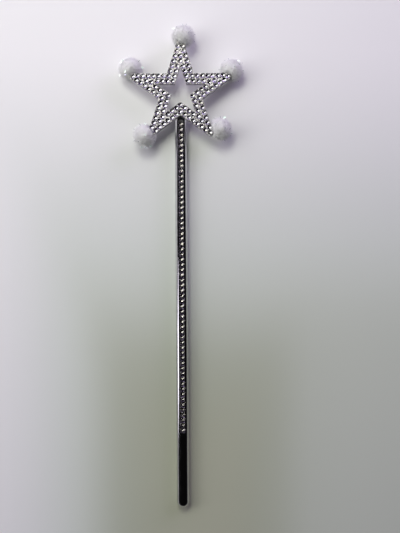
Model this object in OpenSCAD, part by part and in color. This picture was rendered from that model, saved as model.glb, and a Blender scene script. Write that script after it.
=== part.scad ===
// Toy magic wand: a gem-set star on a plated stick, with a pom-pom on each arm of the star.
// It lies on its back: +Z is up, +Y points from the grip to the star's top arm, and the table is z = 0.

/* [Star] */
// Distance from the star's centre to the line of each outer edge
star_edge = 13.4; // [12.6:0.1:16]
// Radius of the rounded tips of the arms
tip_round = 2.2; // [1.8:0.1:2.3]
// Radius of the rounded points of the window
window_round = 0.4; // [0.2:0.1:0.8]
// Thickness of the closed star
star_t = 4.4; // [4:0.1:6]
// Thickness of the front shell's face
face_t = 1.2; // [0.8:0.1:1.3]
// Thickness of the back shell's plate
back_t = 1.2; // [0.8:0.1:1.3]
// Thickness of the front shell's side walls
wall_t = 1; // [0.8:0.1:1.2]
// Height of the lip on the back shell that locates the walls
lip_h = 1; // [0.6:0.1:1.2]
// Thickness of that lip
lip_t = 0.8; // [0.6:0.1:1]
// Diameter of the front shell's locating pins
pin_d = 1.8; // [1.4:0.1:2.2]
// Outer diameter of the back shell's sockets for those pins
socket_d = 3.6; // [3.2:0.1:4]
// Diameter of the post on the back shell that plugs into the stick
post_d = 3; // [2.4:0.1:3.4]
// Length of that post
post_len = 5; // [4:0.1:5.5]

/* [Gems] */
// Diameter of a gem
gem_d = 3.5; // [3:0.1:4]
// Height of a gem
gem_h = 1.5; // [1.2:0.1:2]
// Diameter of the flat table on top of a gem
gem_table_d = 1.7; // [1.2:0.1:2.2]
// Gap between neighbouring gems in a row
gem_gap = 0.25; // [0.15:0.05:0.5]
// Gap between the two rows of gems on the star
row_gap = 0.35; // [0.2:0.05:0.6]

/* [Stick] */
// Outer diameter of the stick at its grip
stick_d = 9.2; // [8.8:0.1:11]
// How much slimmer the stick is at its head end than at its grip
stick_taper = 0.3; // [0.1:0.1:0.6]
// Wall thickness of the stick at its head end
stick_wall = 1.3; // [1.2:0.05:1.8]
// Length of the stick from its head end to the cap
stick_len = 285; // [180:1:360]
// How far the stick's head end stays hidden past the edge of the star's window
head_cover = 0.4; // [0.2:0.1:1]
// Length of the plain grip, with the cap
grip_len = 53.4; // [40:0.1:90]
// Width of the flat land that the star and the gems sit on, at the head end
land_w = 4.6; // [4.2:0.1:4.8]
// Width of the tape under the stick's gems
tape_w = 3.6; // [3.2:0.1:4]
// Thickness of that tape
tape_t = 0.2; // [0.1:0.05:0.4]
// Bare length of land left above and below the tape
tape_margin = 1.4; // [0.5:0.1:4]
// Length of the cap that shows
cap_len = 6; // [4.6:0.1:9]
// Radius of the cap's rounded edge
cap_round = 4.2; // [1:0.1:4.3]
// Length of the cap's spigot inside the stick
spigot_len = 9; // [5:0.5:20]
// Length of the plug in the stick's head end
plug_len = 14; // [8:0.5:30]

/* [Pom-poms] */
// Diameter of a pom-pom
pompom_d = 17; // [14:0.5:22]
// How far a pom-pom's centre lies past the end of its arm
pompom_overhang = 2; // [0.5:0.1:3]
// How far the deepest-set pom-poms' centres lie behind the middle of the star
pompom_drop = 3.4; // [3:0.1:5]
// Diameter of a glue bead
bead_d = 4.4; // [3.4:0.1:5]
// Height of a glue bead
bead_h = 1; // [0.6:0.1:1.5]
// Diameter of the fibre waist that a binding is wound on
waist_d = 2.4; // [1.6:0.1:3]
// Diameter of the binding thread
thread_d = 0.8; // [0.5:0.1:1]

/* [Fits] */
// Clearance all round pins, post, plug and spigot in their holes
press_fit = 0.05; // [0.02:0.01:0.1]
// Clearance between the lip and the walls
lip_fit = 0.1; // [0.05:0.01:0.2]
// Clearance between a pom-pom's pile and what it holds
pile_gap = 0.3; // [0.2:0.05:0.5]

/* [Hidden] */
$fn = 64;
gem_sides = 8;
thread_turns = 3;
tip_steps = 8;
least_round = 0.2;
cut = 1;

ARMS = ["top", "upper_left", "lower_left", "lower_right", "upper_right"];
// How far each pom-pom was glued off its arm's axis, in degrees about the star's centre
SWING = [-3, -8, -4, 11, 6];
// How far each pom-pom was glued further out along its arm than the rest
SLIDE = [0, 0, 0, -1.6, 0];
// How much of that depth each pom-pom has: a shallow one hides its arm's tip in its pile
DEPTH = [0.25, 1, 0.25, 0.25, 1];
// Places of a glue bead and of a binding on the way from the arm's tip to the pom-pom's centre
bead_share = 0.3;
tie_share = 0.6;

// Star: each outline is a pentagram whose edges lie on lines at one distance from the centre
arm_half = 18;
notch_half = 36;
function tip_r(edge) = edge / sin(arm_half);
function notch_r(edge) = edge / cos(notch_half);
function arm_angle(k) = 90 + 72 * k;
function at(r, a) = [r * cos(a), r * sin(a)];

gem_pitch = gem_d + gem_gap;
row_step = gem_d + row_gap;
window_edge = star_edge - 2 * row_step;
arm_end = tip_r(star_edge) - tip_round / sin(arm_half) + tip_round;
front_z = star_t / 2;
back_z = -front_z;
cavity_z = front_z - face_t;
part_z = back_z + back_t;
pin_r = tip_r(window_edge + wall_t) + socket_d;

// Gem rows on the star: row 0 is the outer one, and gem 0 of each row sits in the notch
gem_clear = gem_d / 2 + gem_gap / 4;
function row_edge(i) = star_edge - (i + 0.5) * row_step;
function row_len(i) = row_edge(i) * (1 / tan(arm_half) - tan(notch_half));
function row_pairs(i) = floor((row_len(i) - gem_clear / sin(arm_half)) / gem_pitch) + (i == 0 ? 1 : 0);
// Place of pair j of row i, as a distance along the arm and a distance beside its axis
function row_gem(i, j) =
    let (left = row_len(i) - j * gem_pitch)
    [tip_r(row_edge(i)) - left * cos(arm_half), max(left * sin(arm_half), gem_clear)];
row_gems = [for (i = [0, 1]) for (j = [1:row_pairs(i)]) row_gem(i, j)];
// Gems on an arm's axis stand wherever they clear both rows, from the last inner pair to the tip
axis_stop = arm_end - gem_d / 2 - pile_gap;
axis_search = 0.1;
function clears_rows(r) = min([for (g = row_gems) norm(g - [r, 0])]) >= 2 * gem_clear;
function axis_gems(r) =
    r > axis_stop ? [] :
    clears_rows(r) ? concat([r], axis_gems(r + gem_pitch)) : axis_gems(r + axis_search);
arm_gems = axis_gems(row_gem(1, row_pairs(1))[0] + gem_pitch);

// Stick: distances along it are counted from the star's centre towards the butt
stick_r = stick_d / 2;
head_r = stick_r - stick_taper / 2;
bore_r = head_r - stick_wall;
plug_r = bore_r - press_fit;
head_s = notch_r(window_edge) + head_r * tan(notch_half) + head_cover;
tube_end_s = head_s + stick_len;
butt_s = tube_end_s + cap_len;
post_s = (head_s + notch_r(star_edge)) / 2;

// The land lies against the star's back, and the stick's axis behind it
land_rise = sqrt(head_r * head_r - land_w * land_w / 4);
axis_z = back_z - land_rise;
land_end_s = butt_s - grip_len;
tape_s = notch_r(star_edge) + tape_w / 2 * tan(notch_half) + tape_margin;
tape_len = land_end_s - tape_margin - tape_s;
stick_gem_count = floor((tape_len - gem_d) / gem_pitch) + 1;
stick_gem_s = tape_s + (tape_len - (stick_gem_count - 1) * gem_pitch) / 2;

// Pom-poms: where each centre, bead and binding lies in the star's plane
pompom_r = pompom_d / 2;
pompom_reach = arm_end + pompom_overhang;
tie_h = thread_turns * thread_d;
tie_r = waist_d / 2 + thread_d / 2;
bead_z = back_z - bead_h;
tie_z = bead_z - tie_h;
function pompom_at(k) = at(pompom_reach + SLIDE[k], arm_angle(k) + SWING[k]);
function pompom_z(k) = -pompom_drop * DEPTH[k];
function tip_at(k) = at(arm_end - tip_round, arm_angle(k));
function between(k, share) = tip_at(k) + share * (pompom_at(k) - tip_at(k));

// Rest pose: the wand leans on its lowest pom-pom and on the rounded edge of its cap, or lies flat
heel = [-butt_s + cap_round, axis_z + cap_round - stick_r];
function lean_on(k) =
    let (run = pompom_at(k)[1] - heel[0], fall = heel[1] - pompom_z(k))
    atan(fall / run) + asin((pompom_r - cap_round) / norm([run, fall]));
lean = max([0, for (k = [0:4]) lean_on(k)]);
function leaning_y(p) = p[0] * cos(lean) - p[1] * sin(lean);
function leaning_z(p) = p[0] * sin(lean) + p[1] * cos(lean);
far_y = leaning_y([pompom_at(0)[1], pompom_z(0)]) + pompom_r;
near_y = leaning_y(heel) - cap_round;
rest_y = -(far_y + near_y) / 2;
rest_z = cap_round - leaning_z(heel);

module at_rest() {
    translate([0, rest_y, rest_z]) rotate([lean, 0, 0]) children();
}

// Turns +Z to run along the stick to the butt, and +Y to face the front
module along_stick(s) {
    translate([0, -s, axis_z]) rotate([90, 0, 0]) children();
}

module star_2d(edge, round_r) {
    centre_r = tip_r(edge) - round_r / sin(arm_half);
    sweep = 180 - 2 * arm_half;
    polygon([for (k = [0:4]) each concat(
        [for (i = [0:tip_steps])
            at(centre_r, arm_angle(k)) + at(round_r, arm_angle(k) + sweep * (i / tip_steps - 0.5))],
        [at(notch_r(edge), arm_angle(k) + notch_half)]
    )]);
}

module band_2d(inset) {
    difference() {
        star_2d(star_edge - inset, max(tip_round - inset, least_round));
        star_2d(window_edge + inset, window_round + inset);
    }
}

module slab(z0, z1) {
    translate([0, 0, z0]) linear_extrude(z1 - z0) children();
}

module star_front_shell() {
    color("silver") at_rest() {
        difference() {
            slab(part_z, front_z) band_2d(0);
            slab(part_z - cut, cavity_z) band_2d(wall_t);
        }
        for (k = [0:4])
            translate([each at(pin_r, arm_angle(k)), part_z + lip_fit])
                cylinder(d = pin_d, h = cavity_z - part_z - lip_fit);
    }
}

module star_back_shell() {
    color("silver") at_rest() {
        slab(back_z, part_z) band_2d(0);
        slab(part_z, part_z + lip_h) difference() {
            band_2d(wall_t + lip_fit);
            band_2d(wall_t + lip_fit + lip_t);
        }
        for (k = [0:4])
            translate([each at(pin_r, arm_angle(k)), part_z]) difference() {
                cylinder(d = socket_d, h = cavity_z - part_z - lip_fit);
                cylinder(d = pin_d + 2 * press_fit, h = star_t);
            }
        translate([0, -post_s, back_z - post_len]) cylinder(d = post_d, h = post_len + back_t / 2);
    }
}

// Hole for the back shell's post, from the land down
module post_hole() {
    depth = post_len + lip_fit;
    translate([0, -post_s, back_z - depth]) cylinder(d = post_d + 2 * press_fit, h = depth + cut);
}

module gem() {
    cylinder(d1 = gem_d, d2 = gem_table_d, h = gem_h, $fn = gem_sides);
}

module star_gem(r, a, beside) {
    rotate(a) translate([r, beside, front_z]) gem();
}

// The pairs of one row on every arm, and the gem in each of its notches
module star_gem_row(i) {
    color("gainsboro") at_rest() for (k = [0:4]) {
        star_gem(notch_r(row_edge(i)), arm_angle(k) + notch_half, 0);
        for (j = [1:row_pairs(i)], side = [-1, 1])
            star_gem(row_gem(i, j)[0], arm_angle(k), side * row_gem(i, j)[1]);
    }
}

module star_gems_outer() {
    star_gem_row(0);
}

module star_gems_inner() {
    star_gem_row(1);
}

module star_gems_arm() {
    color("gainsboro") at_rest() for (k = [0:4], r = arm_gems) star_gem(r, arm_angle(k), 0);
}

module stick_tube() {
    color("silver") at_rest() difference() {
        along_stick(0) rotate_extrude() polygon([
            [bore_r, head_s], [head_r, head_s], [stick_r, land_end_s],
            [stick_r, tube_end_s], [bore_r, tube_end_s]
        ]);
        along_stick(head_s - cut) translate([-stick_r, land_rise, 0])
            cube([stick_d, stick_r, land_end_s - head_s + cut]);
        post_hole();
    }
}

module head_plug() {
    color("whitesmoke") at_rest() difference() {
        along_stick(head_s) cylinder(r = plug_r, h = plug_len);
        post_hole();
    }
}

module butt_cap() {
    color("silver") at_rest() {
        along_stick(tube_end_s) rotate_extrude() {
            square([stick_r - cap_round, cap_len]);
            square([stick_r, cap_len - cap_round]);
            translate([stick_r - cap_round, cap_len - cap_round]) intersection() {
                circle(r = cap_round);
                square(cap_round);
            }
        }
        along_stick(tube_end_s - spigot_len) cylinder(r = plug_r, h = spigot_len);
    }
}

module gem_tape() {
    color("dimgray") at_rest() along_stick(tape_s)
        translate([-tape_w / 2, land_rise, 0]) cube([tape_w, tape_t, tape_len]);
}

module stick_gems() {
    color("gainsboro") at_rest() for (i = [0:stick_gem_count - 1])
        along_stick(stick_gem_s + i * gem_pitch)
            translate([0, land_rise + tape_t, 0]) rotate([-90, 0, 0]) gem();
}

// The pile is hollow round the arm's tip with its gems, the bead and the binding
module pompom(k) {
    color("white") at_rest() difference() {
        translate([each pompom_at(k), pompom_z(k)]) rotate(arm_angle(k)) sphere(r = pompom_r);
        slab(back_z - pile_gap, front_z + gem_h + pile_gap)
            star_2d(star_edge + pile_gap, tip_round + pile_gap);
        translate([each between(k, bead_share), bead_z - pile_gap])
            cylinder(d = bead_d + 2 * pile_gap, h = bead_h + pile_gap);
        translate([each between(k, tie_share), tie_z - pile_gap])
            cylinder(r = tie_r + pile_gap, h = tie_h + pile_gap);
    }
}

module tie(k) {
    color("white") at_rest() translate([each between(k, tie_share), tie_z]) {
        cylinder(d = waist_d, h = tie_h);
        for (turn = [0:thread_turns - 1])
            translate([0, 0, (turn + 0.5) * thread_d])
                rotate_extrude() translate([waist_d / 2, 0]) intersection() {
                    circle(d = thread_d);
                    translate([0, -thread_d]) square(2 * thread_d);
                }
    }
}

module glue_bead(k) {
    color("ivory") at_rest() translate([each between(k, bead_share), bead_z])
        cylinder(d = bead_d, h = bead_h);
}

star_front_shell();
star_back_shell();
star_gems_outer();
star_gems_inner();
star_gems_arm();
stick_tube();
head_plug();
butt_cap();
gem_tape();
stick_gems();
for (k = [0:4]) {
    pompom(k);
    tie(k);
    glue_bead(k);
}
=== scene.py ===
import math

import bpy
import numpy as np
from mathutils import Matrix, Quaternion, Vector


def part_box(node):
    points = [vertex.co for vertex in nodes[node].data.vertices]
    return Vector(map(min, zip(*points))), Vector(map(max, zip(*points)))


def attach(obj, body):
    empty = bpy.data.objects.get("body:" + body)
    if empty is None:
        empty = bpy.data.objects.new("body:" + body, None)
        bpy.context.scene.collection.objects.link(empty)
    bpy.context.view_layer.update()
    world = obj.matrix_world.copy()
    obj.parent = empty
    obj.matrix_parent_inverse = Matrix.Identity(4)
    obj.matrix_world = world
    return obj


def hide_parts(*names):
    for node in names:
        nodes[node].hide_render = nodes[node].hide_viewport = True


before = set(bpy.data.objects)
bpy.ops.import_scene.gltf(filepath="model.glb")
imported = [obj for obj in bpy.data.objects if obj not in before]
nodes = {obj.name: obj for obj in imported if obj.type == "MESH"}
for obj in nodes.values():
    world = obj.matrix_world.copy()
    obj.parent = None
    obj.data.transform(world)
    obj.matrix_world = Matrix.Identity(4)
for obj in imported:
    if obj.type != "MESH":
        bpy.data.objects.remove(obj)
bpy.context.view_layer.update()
BODY = "root"
MM = 0.001

# Rest pose of the part: where the star's centre lies, and how far the wand leans
LEAN = math.radians(0.235532)
STAR = Vector((0.0, 0.126379, 0.0118323))
UP = Vector((0.0, -math.sin(LEAN), math.cos(LEAN)))
TO_WORLD = Matrix.Translation(STAR) @ Matrix.Rotation(LEAN, 4, "X")

ARMS = ("top", "upper_left", "lower_left", "lower_right", "upper_right")
# The star's outline, in millimetres, as in the part's source
TIP_R = 13.4 / math.sin(math.radians(18))
TIP_ROUND = 2.2
TIP_CENTRE = TIP_R - TIP_ROUND / math.sin(math.radians(18))
STAR_BACK = -2.2
GEM_TOP = 3.7


# Materials

def new_material(name):
    material = bpy.data.materials.new(name)
    material.use_nodes = True
    tree = material.node_tree
    return material, tree, tree.nodes["Principled BSDF"]


def add(tree, kind, **values):
    node = tree.nodes.new(kind)
    for key, value in values.items():
        if key in node.inputs:
            node.inputs[key].default_value = value
        else:
            setattr(node, key, value)
    return node


def noise(tree, scale, detail=3.0, stretch=(1, 1, 1)):
    """A noise over the object's own coordinates, which are metres of the shared frame."""
    where = add(tree, "ShaderNodeTexCoord")
    mapping = add(tree, "ShaderNodeMapping", Scale=stretch)
    made = add(tree, "ShaderNodeTexNoise", Scale=scale, Detail=detail)
    tree.links.new(where.outputs["Object"], mapping.inputs["Vector"])
    tree.links.new(mapping.outputs["Vector"], made.inputs["Vector"])
    return made.outputs["Fac"]


def ramp(tree, source, stops, blend="LINEAR"):
    made = add(tree, "ShaderNodeValToRGB")
    made.color_ramp.interpolation = blend
    elements = made.color_ramp.elements
    while len(elements) < len(stops):
        elements.new(0.5)
    for element, (place, colour) in zip(elements, stops):
        element.position = place
        element.color = (*colour, 1.0)
    tree.links.new(source, made.inputs["Fac"])
    return made.outputs["Color"]


def map_range(tree, source, low, high, to_low=0.0, to_high=1.0):
    made = add(tree, "ShaderNodeMapRange")
    made.inputs["From Min"].default_value = low
    made.inputs["From Max"].default_value = high
    made.inputs["To Min"].default_value = to_low
    made.inputs["To Max"].default_value = to_high
    tree.links.new(source, made.inputs["Value"])
    return made.outputs["Result"]


def spread(tree, pattern, low, high):
    """Values from low to high over the range that a noise mostly keeps to."""
    return map_range(tree, pattern, 0.3, 0.7, low, high)


def bump(tree, shader, source, strength, distance, under=None):
    made = add(tree, "ShaderNodeBump", Strength=strength, Distance=distance)
    tree.links.new(source, made.inputs["Height"])
    if under is not None:
        tree.links.new(under, made.inputs["Normal"])
    tree.links.new(made.outputs["Normal"], shader.inputs["Normal"])
    return made.outputs["Normal"]


def surface(name, stops, scale, roughness, metallic=0.0, bumps=(), stretch=(1, 1, 1), **sockets):
    """A material whose colour and roughness follow one noise, and whose bumps follow others."""
    material, tree, shader = new_material(name)
    shader.inputs["Metallic"].default_value = metallic
    for key, value in sockets.items():
        shader.inputs[key.replace("_", " ")].default_value = value
    pattern = noise(tree, scale, stretch=stretch)
    tree.links.new(ramp(tree, pattern, stops), shader.inputs["Base Color"])
    tree.links.new(spread(tree, pattern, *roughness), shader.inputs["Roughness"])
    under = None
    for bump_scale, bump_stretch, strength, distance in bumps:
        height = noise(tree, bump_scale, stretch=bump_stretch)
        under = bump(tree, shader, height, strength, distance, under)
    return material


def paint_wall_shade(material, colour):
    """Paints shade onto the upright walls of a piece: a darker tone than its front and back, standing in
    for the shade that falls on them.
    """
    tree = material.node_tree
    base = tree.nodes["Principled BSDF"].inputs["Base Color"]
    front = base.links[0].from_socket
    split = add(tree, "ShaderNodeSeparateXYZ")
    tree.links.new(add(tree, "ShaderNodeNewGeometry").outputs["True Normal"], split.inputs["Vector"])
    upright = add(tree, "ShaderNodeMath", operation="ABSOLUTE")
    tree.links.new(split.outputs["Z"], upright.inputs[0])
    mixed = add(tree, "ShaderNodeMixRGB", Color1=(*colour, 1.0))
    tree.links.new(upright.outputs["Value"], mixed.inputs["Fac"])
    tree.links.new(front, mixed.inputs["Color2"])
    tree.links.new(mixed.outputs["Color"], base)


plated = surface(
    "plated_stick", [(0.35, (0.56, 0.56, 0.575)), (0.65, (0.64, 0.64, 0.645))], 220, (0.05, 0.11), 1.0,
    bumps=[(1.0, (90, 30, 90), 0.25, 0.0006), (1.0, (9000, 160, 9000), 0.05, 0.00002)],
)
star_plate = surface(
    "satin_star", [(0.475, (0.03, 0.028, 0.03)), (0.55, (0.90, 0.885, 0.84))], 1300, (0.32, 0.45), 0.3,
    bumps=[(1500, (1, 1, 1), 0.2, 0.00005)],
)
# Painted shade: the star's upright walls are coloured a darker lilac-grey than its front and back
paint_wall_shade(star_plate, (0.34, 0.32, 0.36))
foil = surface(
    "gem_foil", [(0.3, (0.48, 0.48, 0.51)), (0.5, (0.54, 0.55, 0.56)), (0.7, (0.56, 0.56, 0.51))],
    260, (0.04, 0.12), 1.0,
)
# Painted shade: a darker, slightly warmer copy of the gem foil for the stick's stones, which dims their
# highlights
shaded_stick_foil = surface(
    "stick_gem_foil_painted_shade", [(0.35, (0.28, 0.275, 0.255)), (0.65, (0.37, 0.36, 0.32))], 260, (0.12, 0.25), 1.0,
)
crystal = surface(
    "gem_crystal", [(0.35, (0.97, 0.96, 1.0)), (0.65, (1.0, 1.0, 0.98))], 260, (0.0, 0.03),
    Transmission_Weight=1.0, IOR=1.4,
)
dark_tape = surface(
    "tape_film", [(0.35, (0.03, 0.028, 0.034)), (0.65, (0.07, 0.066, 0.078))], 600, (0.18, 0.3),
    bumps=[(2500, (1, 1, 1), 0.2, 0.00003)],
)
pile = surface(
    "pompom_pile", [(0.35, (0.88, 0.90, 0.86)), (0.65, (0.95, 0.97, 0.93))], 500, (0.75, 0.95),
    Sheen_Weight=0.3, Sheen_Roughness=0.5,
    Subsurface_Weight=0.5, Subsurface_Radius=(1.0, 1.0, 1.0), Subsurface_Scale=0.0012,
)
tinsel = surface(
    "pompom_tinsel",
    [
        (0.35, (0.50, 0.95, 0.70)), (0.45, (0.92, 0.98, 0.93)),
        (0.55, (0.86, 0.85, 0.96)), (0.65, (0.68, 0.97, 0.84)),
    ],
    700, (0.1, 0.2), 0.6,
)
thread = surface(
    "binding_thread", [(0.35, (0.80, 0.80, 0.80)), (0.65, (0.92, 0.92, 0.91))], 3000, (0.8, 0.95),
    bumps=[(1.0, (2000, 2000, 9000), 0.5, 0.0001)],
)
glue = surface(
    "hot_glue", [(0.35, (0.82, 0.79, 0.68)), (0.65, (0.90, 0.88, 0.79))], 400, (0.25, 0.4),
    bumps=[(600, (1, 1, 1), 0.3, 0.0001)],
)
plain = surface(
    "plain_plastic", [(0.35, (0.80, 0.80, 0.78)), (0.65, (0.87, 0.87, 0.85))], 500, (0.4, 0.55),
    bumps=[(2000, (1, 1, 1), 0.2, 0.00004)],
)


def paint(node, material):
    slots = nodes[node].data.materials
    slots.clear()
    slots.append(material)


for name in ("stick_tube", "butt_cap"):
    paint(name, plated)
for name in ("star_front_shell", "star_back_shell"):
    paint(name, star_plate)
for name in ("star_gems_outer", "star_gems_inner", "star_gems_arm", "stick_gems"):
    paint(name, foil)
paint("gem_tape", dark_tape)
paint("head_plug", plain)
for arm in ARMS:
    paint("tie_" + arm, thread)
    paint("glue_bead_" + arm, glue)
    paint("pompom_" + arm, pile)


def new_piece(name, points, faces, materials, kinds=None, smooth=False):
    mesh = bpy.data.meshes.new(name)
    mesh.from_pydata([tuple(p) for p in points], [], faces)
    for material in materials:
        mesh.materials.append(material)
    if kinds is not None:
        mesh.polygons.foreach_set("material_index", kinds)
    mesh.polygons.foreach_set("use_smooth", [smooth] * len(faces))
    mesh.update()
    piece = bpy.data.objects.new(name, mesh)
    bpy.context.scene.collection.objects.link(piece)
    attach(piece, BODY)
    return piece


# Gems: a clear faceted crown over a shallow foiled cup, one on each gem of the part

GEM_R = 1.88 * MM
GEM_SIDES = 8
# Rings of a crown from the girdle to the table: height, radius and turn in half steps
GEM_RINGS = ((0.0, 1.0, 0), (0.30, 1.0, 0), (0.84, 0.74, 1), (1.30, 0.40, 0))
GEM_CULET = 0.07 * MM
GEM_TILT = math.radians(1.5)
FOOT_DEPTH = 0.1 * MM


def islands(mesh):
    """The separate solids of a mesh, each as a list of its corners, from the grip towards the star."""
    keys, parent = {}, []

    def root(i):
        while parent[i] != i:
            parent[i] = parent[parent[i]]
            i = parent[i]
        return i

    places, of_vertex = [], []
    for vertex in mesh.vertices:
        key = tuple(round(c * 1e6) for c in vertex.co)
        if key not in keys:
            keys[key] = len(parent)
            parent.append(len(parent))
            places.append(vertex.co.copy())
        of_vertex.append(keys[key])
    for polygon in mesh.polygons:
        first = root(of_vertex[polygon.vertices[0]])
        for i in polygon.vertices[1:]:
            parent[root(of_vertex[i])] = first
    groups = {}
    for i, place in enumerate(places):
        groups.setdefault(root(i), []).append(place)

    def place_of(group):
        return round(sum(p.y for p in group) / len(group), 6), sum(p.x for p in group)

    return sorted(groups.values(), key=place_of)


def seat_of(island):
    """The middle of the foot that a gem stands on."""
    heights = [p.dot(UP) for p in island]
    low = min(heights)
    foot = [p for p, h in zip(island, heights) if h < low + FOOT_DEPTH]
    return sum(foot, Vector()) / len(foot)


def gem_set(name, node, backing, seed):
    rng = np.random.default_rng(seed)
    points, faces, kinds = [], [], []
    for island in islands(nodes[node].data):
        seat = seat_of(island)
        turn = rng.uniform(0, 2 * math.pi)
        tilt = rng.normal(0, GEM_TILT, 2)
        tilted = Matrix.Rotation(tilt[0], 4, "X") @ Matrix.Rotation(tilt[1], 4, "Y")
        place = (
            Matrix.Translation(seat) @ Matrix.Rotation(LEAN, 4, "X")
            @ tilted @ Matrix.Rotation(turn, 4, "Z")
        )
        first = len(points)
        for height, share, half in GEM_RINGS:
            for i in range(GEM_SIDES):
                a = 2 * math.pi * (i + half / 2) / GEM_SIDES
                r = GEM_R * share
                points.append(place @ Vector((r * math.cos(a), r * math.sin(a), height * MM)))
        culet = len(points)
        points.append(place @ Vector((0, 0, GEM_CULET)))

        def at(ring, i):
            return first + ring * GEM_SIDES + i % GEM_SIDES

        for i in range(GEM_SIDES):
            faces.append((at(0, i), at(0, i + 1), at(1, i + 1), at(1, i)))
            faces.append((culet, at(1, i), at(1, i + 1)))
            kinds += [1, 1]
            faces.append((at(1, i), at(1, i + 1), at(2, i)))
            faces.append((at(1, i + 1), at(2, i + 1), at(3, i + 1), at(2, i)))
            faces.append((at(2, i), at(3, i + 1), at(3, i)))
            kinds += [0, 0, 0]
        faces.append(tuple(at(3, i) for i in range(GEM_SIDES)))
        kinds.append(0)
    piece = new_piece(name, points, faces, [crystal, backing], kinds)
    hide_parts(node)


gem_set("outer_stones", "star_gems_outer", foil, 11)
gem_set("inner_stones", "star_gems_inner", foil, 12)
gem_set("arm_stones", "star_gems_arm", foil, 13)
gem_set("stick_stones", "stick_gems", shaded_stick_foil, 14)


# Stick: the plated tube drawn round, so that its flanks mirror the room in one smooth sweep

# The stick's sizes, in millimetres, as in the part's source; distances run from the star's centre to the
# butt
HEAD_R, GRIP_R, BORE_R = 4.45, 4.6, 3.15
HEAD_S, LAND_END_S, TUBE_END_S = 10.6787, 248.279, 295.679
LAND_HALF = 2.3
LAND_RISE = math.sqrt(HEAD_R ** 2 - LAND_HALF ** 2)
STICK_AXIS = STAR_BACK - LAND_RISE
# The land is left open round the star's post, under the star
POST_GAP = (12.0, 15.3)
FLANK_STEPS = 120
LAND_STEPS = 12


def stick_point(s, angle, r):
    """A point at a distance along the stick, an angle from its front and a radius from its axis."""
    return TO_WORLD @ (Vector((r * math.sin(angle), -s, STICK_AXIS + r * math.cos(angle))) * MM)


def stick_skin():
    points, faces, smooth = [], [], []

    def row(s, angles, radius):
        first = len(points)
        points.extend(stick_point(s, a, radius(a)) for a in angles)
        return range(first, len(points))

    def join(one, two, is_smooth):
        for i in range(len(one) - 1):
            faces.append((one[i], one[i + 1], two[i + 1], two[i]))
            smooth.append(is_smooth)

    def spread_angles(first, last, steps):
        return [first + (last - first) * i / steps for i in range(steps + 1)]

    def flank(s):
        r = HEAD_R + (GRIP_R - HEAD_R) * (s - HEAD_S) / (LAND_END_S - HEAD_S)
        edge = math.acos(LAND_RISE / r)
        return r, edge, spread_angles(edge, 2 * math.pi - edge, FLANK_STEPS)

    def on_land(a):
        return LAND_RISE / math.cos(a)

    head_r, head_edge, head_angles = flank(HEAD_S)
    end_r, end_edge, end_angles = flank(LAND_END_S)
    join(row(HEAD_S, head_angles, lambda a: head_r), row(LAND_END_S, end_angles, lambda a: end_r), True)
    for near, far in ((HEAD_S, POST_GAP[0]), (POST_GAP[1], LAND_END_S)):
        edges = [flank(s)[1] for s in (near, far)]
        join(row(near, (-edges[0], edges[0]), on_land), row(far, (-edges[1], edges[1]), on_land), False)
    # The head end round the plug, and the step at the end of the land
    front = spread_angles(-head_edge, head_edge, LAND_STEPS)
    join(row(HEAD_S, head_angles, lambda a: BORE_R), row(HEAD_S, head_angles, lambda a: head_r), False)
    join(row(HEAD_S, front, lambda a: BORE_R), row(HEAD_S, front, on_land), False)
    front = spread_angles(-end_edge, end_edge, LAND_STEPS)
    join(row(LAND_END_S, front, on_land), row(LAND_END_S, front, lambda a: end_r), False)
    around = spread_angles(0, 2 * math.pi, FLANK_STEPS)
    join(row(LAND_END_S, around, lambda a: GRIP_R), row(TUBE_END_S, around, lambda a: GRIP_R), True)

    piece = new_piece("stick_skin", points, faces, [plated])
    piece.data.polygons.foreach_set("use_smooth", smooth)
    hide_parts("stick_tube")


stick_skin()


# Pom-poms: fine tapered strands round a soft core, parted where the arm's tip lies in them

POMPOM_R = 8.5 * MM
CORE_R = 6.8 * MM
STRANDS = 7500
CLUMPS = 260
FLOOR_GAP = 0.05 * MM
PART_GAP = 0.35
# Places along a strand from its root to its tip, and its thickness at each but the last
STRAND_STEPS = np.array([0.0, 0.45, 0.8, 1.0])
STRAND_TAPER = np.array([1.0, 0.9, 0.6])
STRAND_SIDES = 3
# Fine strands, as a share of all, stray and reach further than the rest
FINE_SHARE = 0.42
FINE_STRAY, COARSE_STRAY = 0.16, 0.05
FINE_RADIUS, COARSE_RADIUS = 0.045, (0.07, 0.11)
# Mean and spread of the strands' reach, in shares of the pom-pom's radius
FINE_REACH, COARSE_REACH = (1.07, 0.08), (0.95, 0.06)
CLUMP_REACH = (0.93, 1.05)
REACH_LIMITS = (0.75, 1.2)
ROOT_REACH = 0.5
LEAN_IN = (0.4, 0.8)
STRAND_BOW = 0.35
CORE_ROWS, CORE_COLUMNS = 20, 32
CORE_LUMPS = 60
LUMP_SIZES = (0.2, 0.6)
TINSEL_WIDTHS, TINSEL_LENGTHS = (0.28, 0.45), (0.9, 1.7)
TINSEL_REACH = (1.03, 1.1)
TINSEL_CURL = 0.5
TINSEL_STRAYS = 14
# Halfway between straight up and the key light: tinsel that faces this way flashes
FLASH = np.array((-0.03, 0.23, 0.97))
# Tinsel that flashes on each pom-pom: places seen from the front, in shares of its radius
GLINTS = (
    [(0.26, 0.94), (-0.77, 0.64), (0.6, 0.3)],
    [(1.0, 0.13), (-0.55, 0.55), (-0.38, -0.38), (-0.8, 0.5)],
    [(-0.87, 0.52), (0.02, 0.95), (-0.9, -0.44), (-0.27, -0.95), (0.5, -0.85), (-0.38, 0.88), (0.1, -0.1)],
    [(-0.45, 0.9), (0.03, 0.92), (-0.39, 0.31), (0.9, -0.4), (0.3, 0.85)],
    [(0.57, 0.74), (0.9, 0.5), (0.64, 0.35), (1.0, -0.04), (-1.0, 0.08), (0.72, 0.45)],
)
STAR_TURN = np.array(Matrix.Rotation(LEAN, 3, "X"))


def unit(v):
    return v / np.linalg.norm(v, axis=-1, keepdims=True)


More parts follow.
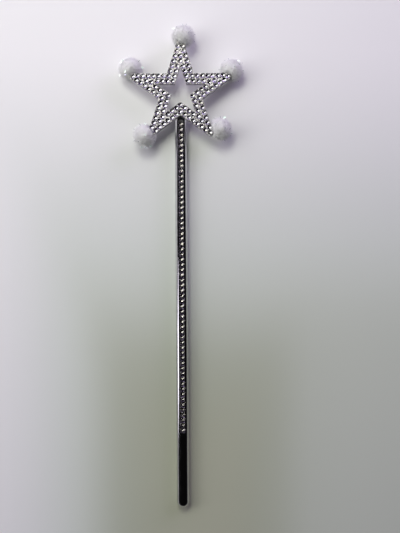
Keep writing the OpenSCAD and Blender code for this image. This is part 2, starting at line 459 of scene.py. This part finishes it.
def over_arm(q, arm, gap):
    """Whether points of the star's frame, in millimetres, lie inside the arm's outline from the front."""
    a = math.radians(90 + 72 * arm)
    half = math.radians(18)
    along = q[..., 0] * math.cos(a) + q[..., 1] * math.sin(a)
    beside = np.abs(q[..., 1] * math.cos(a) - q[..., 0] * math.sin(a))
    in_tip = np.hypot(along - TIP_CENTRE, beside) < TIP_ROUND + gap
    in_arm = beside < (TIP_R - along) * math.tan(half) + gap / math.cos(half)
    return np.where(along > TIP_CENTRE, in_tip, in_arm)


def clear_of_arm(lines, arm):
    """Lines of points lifted off the arm's tip and gems, without the lines that would end inside them."""
    low, high = STAR_BACK - PART_GAP, GEM_TOP + PART_GAP
    q = (lines - np.array(STAR)) @ STAR_TURN / MM
    ends = q[:, -1]
    kept = ~(over_arm(ends, arm, PART_GAP) & (ends[:, 2] > low) & (ends[:, 2] < high + PART_GAP))
    q = q[kept]
    inside = over_arm(q, arm, PART_GAP) & (q[..., 2] > low) & (q[..., 2] < high)
    lifted = np.where(q[:, -1:, 2] > high, high, low)
    q[..., 2] = np.where(inside, lifted, q[..., 2])
    made = q * MM @ STAR_TURN.T + np.array(STAR)
    made[..., 2] = np.maximum(made[..., 2], FLOOR_GAP)
    return made, kept


def sphere_directions(count, rng, jitter):
    k = np.arange(count) + 0.5
    polar = np.arccos(1 - 2 * k / count)
    around = math.pi * (1 + 5 ** 0.5) * k
    d = np.stack([np.cos(around) * np.sin(polar), np.sin(around) * np.sin(polar), np.cos(polar)], 1)
    return unit(d + rng.normal(0, jitter, d.shape))


def strand_mesh(lines, radii, first):
    """Corners and faces of one thin tube along each line, whose corners are numbered from first."""
    way = unit(lines[:, -1] - lines[:, 0])
    apart = np.where(np.abs(way[:, 2:]) < 0.8, (0.0, 0.0, 1.0), (1.0, 0.0, 0.0))
    side = unit(np.cross(way, apart))
    other = np.cross(way, side)
    turn = 2 * math.pi * np.arange(STRAND_SIDES) / STRAND_SIDES
    ring = np.cos(turn)[:, None] * side[:, None] + np.sin(turn)[:, None] * other[:, None]
    size = radii[:, None] * STRAND_TAPER
    tubes = lines[:, :-1, None] + size[..., None, None] * ring[:, None]
    points = np.concatenate([tubes.reshape(len(lines), -1, 3), lines[:, -1:]], 1)
    rings = len(STRAND_TAPER)
    tip = rings * STRAND_SIDES
    pattern = []
    for i in range(STRAND_SIDES):
        j = (i + 1) % STRAND_SIDES
        for r in range(rings - 1):
            a, b = r * STRAND_SIDES + i, r * STRAND_SIDES + j
            pattern.append((a, b, b + STRAND_SIDES, a + STRAND_SIDES))
        pattern.append((tip - STRAND_SIDES + i, tip - STRAND_SIDES + j, tip))
    faces = [
        tuple(start + c for c in face)
        for start in range(first, first + len(lines) * (tip + 1), tip + 1) for face in pattern
    ]
    return points.reshape(-1, 3), faces


def ribbon_mesh(lines, widths, across, first):
    """Corners and faces of one flat ribbon along each line, whose corners are numbered from first."""
    half = (widths[:, None] * across / 2)[:, None]
    points = np.stack([lines - half, lines + half], 2).reshape(-1, 3)
    count = lines.shape[1]
    faces = [
        (a, a + 1, a + 3, a + 2)
        for start in range(first, first + len(points), 2 * count)
        for a in range(start, start + 2 * count - 2, 2)
    ]
    return points, faces


def core_mesh(centre, arm, rng):
    """A lumpy ball under the strands, laid flat behind the arm where the arm crosses it."""
    lumps = sphere_directions(CORE_LUMPS, rng, 0.2)
    sizes = rng.uniform(*LUMP_SIZES, len(lumps)) * MM
    polar, around = np.meshgrid(
        math.pi * np.arange(CORE_ROWS + 1) / CORE_ROWS,
        2 * math.pi * np.arange(CORE_COLUMNS) / CORE_COLUMNS, indexing="ij",
    )
    d = np.stack([np.sin(polar) * np.cos(around), np.sin(polar) * np.sin(around), np.cos(polar)], -1)
    d = d.reshape(-1, 3)
    near = d @ lumps.T
    nearest = near.argmax(1)
    r = CORE_R + sizes[nearest] * (near.max(1) - 0.9) * 10
    q = (centre + d * r[:, None] - np.array(STAR)) @ STAR_TURN / MM
    low, high = STAR_BACK - PART_GAP, GEM_TOP + PART_GAP
    inside = over_arm(q, arm, PART_GAP) & (q[:, 2] > low) & (q[:, 2] < high)
    q[:, 2] = np.where(inside, low, q[:, 2])
    points = q * MM @ STAR_TURN.T + np.array(STAR)
    points[:, 2] = np.maximum(points[:, 2], FLOOR_GAP)
    faces = []
    for i in range(CORE_ROWS):
        for j in range(CORE_COLUMNS):
            a, b = i * CORE_COLUMNS + j, i * CORE_COLUMNS + (j + 1) % CORE_COLUMNS
            faces.append((a, a + CORE_COLUMNS, b + CORE_COLUMNS, b))
    return points, faces


def pompom(arm, glints):
    name = "pompom_" + ARMS[arm]
    rng = np.random.default_rng(30 + arm)
    low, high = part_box(name)
    centre = np.array((low + high) / 2)
    core_points, core_faces = core_mesh(centre, arm, rng)

    d = sphere_directions(STRANDS, rng, 0.06)
    clumps = sphere_directions(CLUMPS, rng, 0.08)
    nearest = (d @ clumps.T).argmax(1)
    fine = rng.random(STRANDS) < FINE_SHARE
    lean_in = rng.uniform(*LEAN_IN, (STRANDS, 1))
    stray = np.where(fine, FINE_STRAY, COARSE_STRAY)[:, None]
    end = unit(d * (1 - lean_in) + clumps[nearest] * lean_in + rng.normal(0, 1, d.shape) * stray)
    reach = rng.uniform(*CLUMP_REACH, CLUMPS)[nearest] * np.where(
        fine, rng.normal(*FINE_REACH, STRANDS), rng.normal(*COARSE_REACH, STRANDS),
    )
    reach = POMPOM_R * np.clip(reach, *REACH_LIMITS)
    bow = rng.normal(0, STRAND_BOW, d.shape) * MM
    share = STRAND_STEPS[:, None]
    way = unit(d[:, None] * (1 - share) + end[:, None] * share)
    distance = ROOT_REACH * POMPOM_R * (1 - share) + reach[:, None, None] * share
    lines = centre + way * distance + bow[:, None] * np.sin(math.pi * share)
    radii = np.where(fine, FINE_RADIUS, rng.uniform(*COARSE_RADIUS, STRANDS)) * MM
    lines, kept = clear_of_arm(lines, arm)
    strand_points, strand_faces = strand_mesh(lines, radii[kept], len(core_points))

    spots = np.array(glints, float)
    rise = np.sqrt(np.clip(1 - (spots ** 2).sum(1, keepdims=True), 0.02, 1))
    strays = sphere_directions(TINSEL_STRAYS, rng, 0.3)
    d = np.concatenate([unit(np.hstack([spots, rise])), strays])
    face = unit(np.concatenate([
        FLASH + rng.normal(0, 0.06, (len(spots), 3)), rng.normal(0, 1, (TINSEL_STRAYS, 3)),
    ]))
    run = unit(d - face * (d * face).sum(1, keepdims=True))
    across = np.cross(face, run)
    widths = rng.uniform(*TINSEL_WIDTHS, len(d)) * MM
    length = rng.uniform(*TINSEL_LENGTHS, len(d)) * MM
    reach = d * POMPOM_R * rng.uniform(*TINSEL_REACH, (len(d), 1))
    along = length[:, None, None] * (share - 0.6) * run[:, None]
    curl = rng.normal(0, TINSEL_CURL, (len(d), 1)) * MM * across
    lines, kept = clear_of_arm(centre + reach[:, None] + along + curl[:, None] * share ** 2, arm)
    first = len(core_points) + len(strand_points)
    tinsel_points, tinsel_faces = ribbon_mesh(lines, widths[kept], across[kept], first)

    kinds = [0] * (len(core_faces) + len(strand_faces)) + [1] * len(tinsel_faces)
    piece = new_piece(
        name + "_pile", np.concatenate([core_points, strand_points, tinsel_points]),
        core_faces + strand_faces + tinsel_faces, [pile, tinsel], kinds, smooth=True,
    )
    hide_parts(name)


for number, glints in enumerate(GLINTS):
    pompom(number, glints)


# Stage, light and camera

def plane(name, half, height, material):
    mesh = bpy.data.meshes.new(name)
    corners = [(-half, -half, height), (half, -half, height), (half, half, height), (-half, half, height)]
    mesh.from_pydata(corners, [], [(0, 1, 2, 3)])
    mesh.materials.append(material)
    made = bpy.data.objects.new(name, mesh)
    bpy.context.scene.collection.objects.link(made)


# The table's colour with painted light and shade from below the grip to past the star, and the least
# painted level from its left to its right
TABLE_Y, TABLE_X = (-0.22, 0.16), (-0.14, 0.16)
TABLE_LIT_AND_SHADED_TONES = [
    (0.0, (0.485, 0.505, 0.37)), (0.25, (0.435, 0.47, 0.335)), (0.4, (0.44, 0.49, 0.37)),
    (0.52, (0.605, 0.665, 0.565)), (0.63, (0.67, 0.73, 0.65)), (0.8, (0.765, 0.795, 0.755)),
    (1.0, (0.88, 0.89, 0.865)),
]
TABLE_PAINTED_SIDE_LIGHT = (
    (0.05, 0.86), (0.17, 0.64), (0.29, 0.42), (0.4, 0.28), (0.55, 0.2), (0.66, 0.36), (0.78, 0.5),
)
TABLE_BLEND = 0.15


def painted_light_table():
    """Pale table with painted light and shade: lighter, lilac-white under the star and to the left, greyer
    and greener towards the grip.
    """
    material, tree, shader = new_material("pale_table_painted_light")
    where = add(tree, "ShaderNodeTexCoord")
    split = add(tree, "ShaderNodeSeparateXYZ")
    tree.links.new(where.outputs["Object"], split.inputs["Vector"])
    along = map_range(tree, split.outputs["Y"], *TABLE_Y)
    across = map_range(tree, split.outputs["X"], *TABLE_X)
    sides = ramp(tree, across, [(place, (level,) * 3) for place, level in TABLE_PAINTED_SIDE_LIGHT], "B_SPLINE")
    lighter = add(tree, "ShaderNodeMath", operation="SMOOTH_MAX")
    lighter.inputs[2].default_value = TABLE_BLEND
    tree.links.new(along, lighter.inputs[0])
    tree.links.new(sides, lighter.inputs[1])
    shade = ramp(tree, lighter.outputs["Value"], TABLE_LIT_AND_SHADED_TONES, "B_SPLINE")
    tree.links.new(shade, shader.inputs["Base Color"])
    tree.links.new(spread(tree, noise(tree, 3), 0.5, 0.65), shader.inputs["Roughness"])
    return material


TABLE_HALF = 4.0
plane("floor", TABLE_HALF, 0.0, painted_light_table())

# A low violet panel stands behind the star and to its left. It fades out over these ranges of its
# direction and of the height in the sky. All round, the room is a little lighter, and nearly grey, just
# above the table.
PANEL_WAY = (-0.25, 0.97, 0.0)
PANEL_SIDES, PANEL_TOP = (0.25, 0.8), (0.72, 0.5)
HORIZON_TOP, HORIZON_LEVEL = (0.22, 0.0), 0.16
SKY_TONES = [(0.0, (0.004, 0.004, 0.004)), (0.16, (0.15, 0.143, 0.156)), (1.0, (1.0, 0.8, 1.36))]
SKY_STRENGTH = 0.8

world = bpy.data.worlds.new("studio")
bpy.context.scene.world = world
world.use_nodes = True
sky = world.node_tree
where = add(sky, "ShaderNodeTexCoord")
split = add(sky, "ShaderNodeSeparateXYZ")
sky.links.new(where.outputs["Generated"], split.inputs["Vector"])
toward = add(sky, "ShaderNodeVectorMath", operation="DOT_PRODUCT")
toward.inputs[1].default_value = PANEL_WAY
sky.links.new(where.outputs["Generated"], toward.inputs[0])
panel = add(sky, "ShaderNodeMath", operation="MULTIPLY")
sky.links.new(map_range(sky, toward.outputs["Value"], *PANEL_SIDES), panel.inputs[0])
sky.links.new(map_range(sky, split.outputs["Z"], *PANEL_TOP), panel.inputs[1])
horizon = map_range(sky, split.outputs["Z"], *HORIZON_TOP, to_high=HORIZON_LEVEL)
lit = add(sky, "ShaderNodeMath", operation="MAXIMUM")
sky.links.new(panel.outputs["Value"], lit.inputs[0])
sky.links.new(horizon, lit.inputs[1])
glow = sky.nodes["Background"]
glow.inputs["Strength"].default_value = SKY_STRENGTH
sky.links.new(ramp(sky, lit.outputs["Value"], SKY_TONES), glow.inputs["Color"])


def softbox(name, place, target, shape, sizes, watts, colour, roll=0.0):
    data = bpy.data.lights.new(name, "AREA")
    data.shape = shape
    data.size, data.size_y = sizes
    data.energy = watts
    data.color = colour
    made = bpy.data.objects.new(name, data)
    made.location = place
    aim = (Vector(target) - Vector(place)).to_track_quat("-Z", "Y")
    made.rotation_euler = (aim @ Quaternion((0, 0, 1), math.radians(roll))).to_euler()
    bpy.context.scene.collection.objects.link(made)


# Lamps: name, place, target, shape, sizes in metres, watts, colour and any roll in degrees
LAMPS = (
    ("key", (-0.10, 0.45, 0.67), (0, 0.10, 0), "DISK", (0.33, 0.33),
     2.2, (1.0, 1.0, 0.93)),
    ("window", (-0.60, 0.32, 0.80), (0, 0.05, 0), "RECTANGLE", (0.8, 0.7),
     3.5, (1.0, 0.97, 0.98)),
    ("fill", (0.95, 0.85, 0.55), (0, 0.05, 0), "RECTANGLE", (1.0, 0.6),
     5.2, (1.0, 0.8, 1.32)),
    ("side", (-0.85, 0.10, 0.65), (0, 0.05, 0), "RECTANGLE", (0.8, 0.4),
     1.6, (1.0, 0.97, 1.06)),
    ("left", (-1.0, -0.13, 0.36), (0, -0.13, 0.0), "RECTANGLE", (0.24, 0.6),
     1.2, (1.0, 0.95, 1.06), 23.8),
)
for lamp in LAMPS:
    softbox(*lamp)

# The photograph is taken straight down; its frame is this high where the wand lies
FRAME_HEIGHT = 0.3864
DISTANCE = 0.6
PLANE_Z = 0.010
CAMERA_XY = (0.0133, 0.0005)
ROLL = math.radians(-0.35)
SENSOR = 24.0
camera_data = bpy.data.cameras.new("camera")
camera_data.sensor_fit = "VERTICAL"
camera_data.sensor_height = SENSOR
camera_data.lens = SENSOR * DISTANCE / FRAME_HEIGHT
camera = bpy.data.objects.new("camera", camera_data)
camera.location = (*CAMERA_XY, PLANE_Z + DISTANCE)
camera.rotation_euler = (0.0, 0.0, ROLL)
bpy.context.scene.collection.objects.link(camera)
bpy.context.scene.camera = camera
bpy.context.scene.view_settings.view_transform = "Standard"
